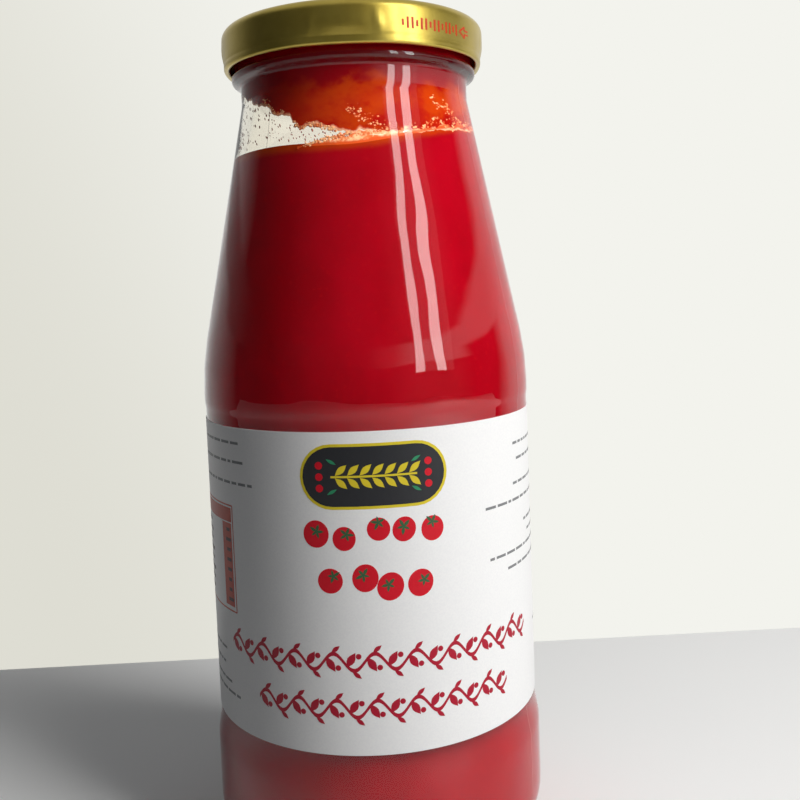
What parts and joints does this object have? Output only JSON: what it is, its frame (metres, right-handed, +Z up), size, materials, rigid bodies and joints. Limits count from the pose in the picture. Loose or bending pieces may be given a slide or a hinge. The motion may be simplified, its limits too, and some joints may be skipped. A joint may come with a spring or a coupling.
{
  "type": "passata bottle",
  "caption": "Round glass bottle of tomato passata with a cylindrical body, a long conical shoulder, a wide neck, a gold twist-off lid and a wrap-round paper label.",
  "frame": {"origin": "centre of the base, on the plane that the bearing ring stands on", "axes": "+Z up along the bottle's axis; the middle of the label's front faces -Y; +X is to the right of someone who looks at the front"},
  "size_m": [0.0832, 0.0832, 0.2032],
  "materials": {
    "glass": "clear flint glass, smooth",
    "lid_lacquer": "gold lacquered tinplate, glossy",
    "label_paper": null,
    "passata": "smooth wet tomato passata"
  },
  "bodies": {
    "root": {"glass_bottle": "glass", "lid": "lid_lacquer", "label": "label_paper", "passata": "passata"}
  },
  "joints": []
}
